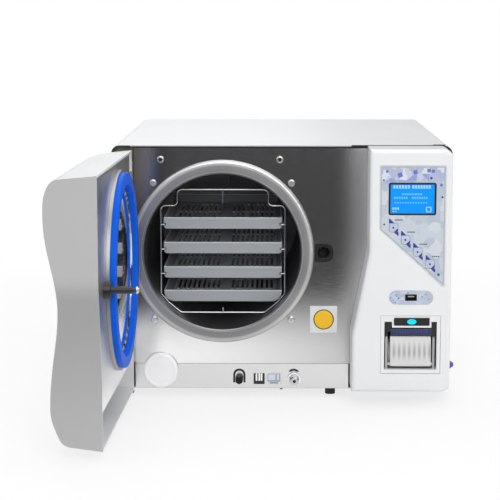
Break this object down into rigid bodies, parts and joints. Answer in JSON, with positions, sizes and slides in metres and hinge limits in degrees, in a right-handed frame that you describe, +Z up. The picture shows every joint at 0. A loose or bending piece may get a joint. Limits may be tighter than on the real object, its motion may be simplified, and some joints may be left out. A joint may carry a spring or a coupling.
{
  "type": "bench-top autoclave",
  "caption": "Bench-top steam steriliser with a round chamber, a swinging door with a blue seal, a wire rack of slotted trays, and a console with screen, keys, data port and printer.",
  "frame": {"origin": "on the bench plane, midway between the four rubber feet", "axes": "+Z up, +Y away from the front, +X to the viewer's right; the chamber axis runs along Y"},
  "size_m": [0.5888, 0.9985, 0.3985],
  "materials": {
    "white_paint": "satin white powder coat",
    "white_plastic": "satin white moulding",
    "grey_plastic": "satin grey moulding",
    "black_plastic": "satin black moulding",
    "navy_plastic": "gloss dark blue moulding",
    "steel": "brushed stainless steel",
    "bright_steel": "polished stainless steel",
    "zinc": "zinc-plated steel",
    "aluminium": "anodised pressed sheet",
    "silicone": "blue silicone, slightly glossy",
    "rubber_foot": "black rubber",
    "insulation": "white needled felt",
    "overlay_film": "printed polyester film",
    "screen": "lit blue display",
    "circuit": "green circuit board",
    "tank_plastic": "translucent polyethylene",
    "plate": "plain satin plate",
    "brass": "machined brass",
    "paper": "thermal paper",
    "key_plastic": "soft blue-grey key",
    "knob_blue": "dark violet-blue moulding"
  },
  "bodies": {
    "cabinet": {"base_pan": "steel", "casing_cover": "white_paint", "front_trim": "black_plastic", "front_panel": "steel", "service_panel": "steel", "feet": "rubber_foot", "chamber_vessel": "bright_steel", "chamber_flange": "bright_steel", "insulation_jacket": "insulation", "chamber_cradle": "steel", "panel_screws": "zinc", "lock_socket": "black_plastic", "hinge_brackets": "zinc", "hinge_pins": "bright_steel", "fascia": "white_plastic", "control_overlay": "overlay_film", "lcd_screen": "screen", "control_board": "circuit", "usb_plate": "grey_plastic", "usb_port": "bright_steel", "printer_bezel": "white_plastic", "printer_frame": "black_plastic", "print_bar": "navy_plastic", "filter_body": "grey_plastic", "drain_valve": "brass", "quick_coupling": "bright_steel", "blank_plates": "plate", "side_valve": "brass", "rear_panel": "white_paint", "fan_frame": "black_plastic", "mains_inlet": "black_plastic", "used_water_tank": "tank_plastic", "clean_water_tank": "tank_plastic", "vacuum_pump": "grey_plastic", "steam_generator": "steel"},
    "door": {"door_shell": "white_plastic", "door_edge": "grey_plastic", "door_inner_panel": "bright_steel", "door_frame": "zinc", "pressure_plate": "bright_steel", "door_gasket": "silicone", "lock_pin": "bright_steel"},
    "rack": {"tray_rack": "bright_steel"},
    "tray_one": {"tray_1": "aluminium"},
    "tray_two": {"tray_2": "aluminium"},
    "tray_three": {"tray_3": "aluminium"},
    "tray_four": {"tray_4": "aluminium"},
    "key_one": {"button_1": "key_plastic"},
    "key_two": {"button_2": "key_plastic"},
    "key_three": {"button_3": "key_plastic"},
    "key_four": {"button_4": "key_plastic"},
    "paper_feed": {"feed_key": "black_plastic"},
    "paper_door": {"printer_cover": "white_plastic"},
    "roll": {"paper_roll": "paper"},
    "filter": {"filter_cap": "white_plastic"},
    "drain_tap": {"drain_knob": "black_plastic"},
    "side_tap": {"side_knob": "knob_blue"},
    "power_switch": {"power_rocker": "black_plastic"},
    "fan": {"fan_rotor": "black_plastic"},
    "claw": {"lock_claw": "zinc"}
  },
  "joints": [
    {"name": "door_hinge", "type": "hinge", "parent": "cabinet", "child": "door", "pos_m": [-0.16, -0.308, 0.2325], "axis": [0, 0, -1], "range_deg": [-91.75, 12]},
    {"name": "rack_slide", "type": "slide", "parent": "cabinet", "child": "rack", "axis": [0, -1, 0], "range_m": [0, 0.35]},
    {"name": "tray_slide_1", "type": "slide", "parent": "rack", "child": "tray_one", "axis": [0, -1, 0], "range_m": [0, 0.3]},
    {"name": "tray_slide_2", "type": "slide", "parent": "rack", "child": "tray_two", "axis": [0, -1, 0], "range_m": [0, 0.3]},
    {"name": "tray_slide_3", "type": "slide", "parent": "rack", "child": "tray_three", "axis": [0, -1, 0], "range_m": [0, 0.3]},
    {"name": "tray_slide_4", "type": "slide", "parent": "rack", "child": "tray_four", "axis": [0, -1, 0], "range_m": [0, 0.3]},
    {"name": "key_press_1", "type": "slide", "parent": "cabinet", "child": "key_one", "axis": [0, 1, 0], "range_m": [0, 0.001], "stiffness_N_per_m": 300},
    {"name": "key_press_2", "type": "slide", "parent": "cabinet", "child": "key_two", "axis": [0, 1, 0], "range_m": [0, 0.001], "stiffness_N_per_m": 300},
    {"name": "key_press_3", "type": "slide", "parent": "cabinet", "child": "key_three", "axis": [0, 1, 0], "range_m": [0, 0.001], "stiffness_N_per_m": 300},
    {"name": "key_press_4", "type": "slide", "parent": "cabinet", "child": "key_four", "axis": [0, 1, 0], "range_m": [0, 0.001], "stiffness_N_per_m": 300},
    {"name": "feed_press", "type": "slide", "parent": "cabinet", "child": "paper_feed", "axis": [0, 1, 0], "range_m": [0, 0.0012], "stiffness_N_per_m": 300},
    {"name": "paper_door_hinge", "type": "hinge", "parent": "cabinet", "child": "paper_door", "pos_m": [0.2798, -0.335, 0.0679], "axis": [1, 0, 0], "range_deg": [0, 40]},
    {"name": "roll_spin", "type": "hinge", "parent": "cabinet", "child": "roll", "pos_m": [0.2792, -0.311, 0.0825], "axis": [1, 0, 0], "continuous": true},
    {"name": "filter_turn", "type": "hinge", "parent": "cabinet", "child": "filter", "pos_m": [-0.1072, -0.2763, 0.0443], "axis": [0, -1, 0], "range_deg": [0, 90]},
    {"name": "drain_turn", "type": "hinge", "parent": "cabinet", "child": "drain_tap", "pos_m": [0.0164, -0.2764, 0.0303], "axis": [0, -1, 0], "range_deg": [0, 180]},
    {"name": "side_tap_turn", "type": "hinge", "parent": "cabinet", "child": "side_tap", "pos_m": [0.346, -0.2465, 0.0475], "axis": [1, 0, 0], "range_deg": [0, 180]},
    {"name": "power_rock", "type": "hinge", "parent": "cabinet", "child": "power_switch", "pos_m": [0.25, 0.311, 0.0955], "axis": [1, 0, 0], "range_deg": [-20, 0]},
    {"name": "fan_spin", "type": "hinge", "parent": "cabinet", "child": "fan", "pos_m": [0.08, 0.305, 0.2725], "axis": [0, 1, 0], "continuous": true},
    {"name": "claw_slide", "type": "slide", "parent": "cabinet", "child": "claw", "axis": [0, 0, 1], "range_m": [-0.01, 0], "stiffness_N_per_m": 60, "springref_m": 0.006}
  ]
}
